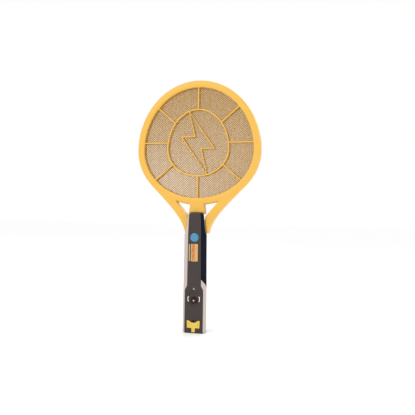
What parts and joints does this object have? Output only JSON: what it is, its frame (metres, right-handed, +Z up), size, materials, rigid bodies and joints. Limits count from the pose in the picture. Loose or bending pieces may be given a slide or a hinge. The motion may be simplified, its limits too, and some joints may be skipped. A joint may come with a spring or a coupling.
{
  "type": "electric fly swatter",
  "caption": "Racket-shaped electric fly swatter: three metal meshes in a ribbed egg-shaped plastic frame on two arms and a stem, with a battery handle, push button, slide switches and a torch.",
  "frame": {"origin": "centre of the handle's flat end, on the floor", "axes": "+Z up from the handle's end to the head, -Y the front with the controls, +X the viewer's right when facing the front"},
  "size_m": [0.221, 0.0376, 0.435],
  "materials": {
    "frame_yellow": "satin moulded plastic",
    "casing_black": "fine matte grain",
    "rail_white": "glossy moulded plastic",
    "pad_rubber": "matte",
    "button_blue": "glossy, slightly translucent",
    "bezel_chrome": "plated",
    "mesh_metal": "warm-toned wire",
    "screw_steel": "zinc plated",
    "label_orange": "printed film",
    "label_cream": "printed film",
    "slider_yellow": "satin",
    "board_green": "solder mask",
    "component_black": "moulded",
    "winding_copper": "enamelled wire",
    "capacitor_film": "dipped",
    "cell_sleeve": "shrink sleeve",
    "wire_red": "insulation",
    "wire_black": "insulation",
    "clear_plastic": "clear"
  },
  "bodies": {
    "swatter": {"battery_cell": "cell_sleeve", "battery_cradle": "casing_black", "battery_wire_black": "wire_black", "battery_wire_red": "wire_red", "bezel_arc_left": "bezel_chrome", "bezel_arc_right": "bezel_chrome", "case_screw_1": "screw_steel", "case_screw_2": "screw_steel", "case_screw_3": "screw_steel", "case_screw_4": "screw_steel", "case_screw_5": "screw_steel", "charge_socket": "screw_steel", "circuit_board": "board_green", "end_cap": "casing_black", "frame_front": "frame_yellow", "frame_rear": "frame_yellow", "frame_screw_1": "screw_steel", "frame_screw_2": "screw_steel", "frame_screw_3": "screw_steel", "frame_screw_4": "screw_steel", "frame_screw_5": "screw_steel", "frame_screw_6": "screw_steel", "front_cover": "casing_black", "grip_pad_left": "pad_rubber", "grip_pad_right": "pad_rubber", "hv_capacitor": "capacitor_film", "hv_lead_centre": "wire_red", "hv_lead_front": "wire_black", "hv_lead_rear": "wire_black", "indicator_led": "clear_plastic", "indicator_lens": "clear_plastic", "label_plate": "label_orange", "label_strip": "label_cream", "mesh_centre": "mesh_metal", "mesh_front": "mesh_metal", "mesh_rear": "mesh_metal", "mesh_spacer_front": "frame_yellow", "mesh_spacer_rear": "frame_yellow", "multiplier_capacitor_1": "capacitor_film", "multiplier_capacitor_2": "capacitor_film", "multiplier_capacitor_3": "capacitor_film", "power_switch": "component_black", "rear_cover": "casing_black", "side_rail_left": "rail_white", "side_rail_right": "rail_white", "torch_led": "clear_plastic", "torch_lens": "clear_plastic", "torch_reflector": "bezel_chrome", "torch_switch": "component_black", "transformer_core": "component_black", "transformer_winding": "winding_copper", "zap_spring": "screw_steel", "zap_switch": "component_black"},
    "zap_button": {"zap_button": "button_blue"},
    "power_slider": {"power_slider": "pad_rubber"},
    "torch_slider": {"torch_slider": "slider_yellow"}
  },
  "joints": [
    {"name": "zap_press", "type": "slide", "parent": "swatter", "child": "zap_button", "axis": [0, 1, 0], "range_m": [0, 0.0015], "stiffness_N_per_m": 400, "springref_m": -0.001, "deforming": ["zap_spring"]},
    {"name": "power_slide", "type": "slide", "parent": "swatter", "child": "power_slider", "axis": [0, 0, 1], "range_m": [0, 0.005]},
    {"name": "torch_slide", "type": "slide", "parent": "swatter", "child": "torch_slider", "axis": [0, 0, 1], "range_m": [0, 0.004]}
  ]
}
